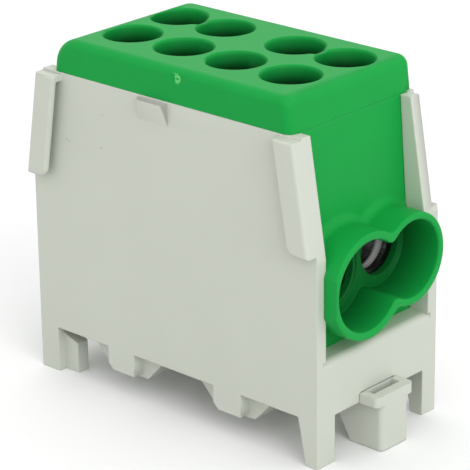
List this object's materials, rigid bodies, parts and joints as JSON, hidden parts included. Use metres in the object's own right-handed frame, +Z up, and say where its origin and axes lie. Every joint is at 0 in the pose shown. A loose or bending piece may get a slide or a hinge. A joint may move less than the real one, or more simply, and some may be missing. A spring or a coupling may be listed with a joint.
{
  "type": "power distribution block",
  "caption": "Branch terminal block for a mounting rail: grey base that clips on, green box with merged wire tubes, screw access holes in the cap and a sliding latch.",
  "frame": {"origin": "under the middle of the side walls, on the plane of the four legs", "axes": "+X along the wires towards the latch, +Z up, the joining bars are on the -Y side"},
  "size_m": [0.0447, 0.0209, 0.0393],
  "materials": {
    "grey_moulding": "fine matt moulding, light grey",
    "latch_moulding": "smooth moulding, light grey",
    "green_moulding": "satin moulding, green, slightly see-through at thin edges",
    "block_metal": "tinned, turned bores",
    "screw_steel": "zinc plated",
    "spring_steel": "bright drawn wire"
  },
  "bodies": {
    "root": {"base_housing": "grey_moulding", "terminal_shell": "green_moulding", "top_cap": "green_moulding", "terminal_block": "block_metal", "latch_spring": "spring_steel"},
    "rail_latch": {"rail_latch": "latch_moulding"},
    "clamp_screw_far_1": {"clamp_screw_far_1": "screw_steel"},
    "clamp_screw_far_2": {"clamp_screw_far_2": "screw_steel"},
    "clamp_screw_far_3": {"clamp_screw_far_3": "screw_steel"},
    "clamp_screw_far_4": {"clamp_screw_far_4": "screw_steel"},
    "clamp_screw_near_1": {"clamp_screw_near_1": "screw_steel"},
    "clamp_screw_near_2": {"clamp_screw_near_2": "screw_steel"},
    "clamp_screw_near_3": {"clamp_screw_near_3": "screw_steel"},
    "clamp_screw_near_4": {"clamp_screw_near_4": "screw_steel"}
  },
  "joints": [
    {"name": "latch_slide", "type": "slide", "parent": "root", "child": "rail_latch", "axis": [1, 0, 0], "range_m": [0, 0.002], "stiffness_N_per_m": 1200, "springref_m": -0.001, "deforming": ["latch_spring"]},
    {"name": "clamp_screw_far_1_travel", "type": "slide", "parent": "root", "child": "clamp_screw_far_1", "axis": [0, 0, -1], "range_m": [0, 0.005]},
    {"name": "clamp_screw_far_2_travel", "type": "slide", "parent": "root", "child": "clamp_screw_far_2", "axis": [0, 0, -1], "range_m": [0, 0.005]},
    {"name": "clamp_screw_far_3_travel", "type": "slide", "parent": "root", "child": "clamp_screw_far_3", "axis": [0, 0, -1], "range_m": [0, 0.005]},
    {"name": "clamp_screw_far_4_travel", "type": "slide", "parent": "root", "child": "clamp_screw_far_4", "axis": [0, 0, -1], "range_m": [0, 0.005]},
    {"name": "clamp_screw_near_1_travel", "type": "slide", "parent": "root", "child": "clamp_screw_near_1", "axis": [0, 0, -1], "range_m": [0, 0.006]},
    {"name": "clamp_screw_near_2_travel", "type": "slide", "parent": "root", "child": "clamp_screw_near_2", "axis": [0, 0, -1], "range_m": [0, 0.006]},
    {"name": "clamp_screw_near_3_travel", "type": "slide", "parent": "root", "child": "clamp_screw_near_3", "axis": [0, 0, -1], "range_m": [0, 0.006]},
    {"name": "clamp_screw_near_4_travel", "type": "slide", "parent": "root", "child": "clamp_screw_near_4", "axis": [0, 0, -1], "range_m": [0, 0.006]}
  ]
}
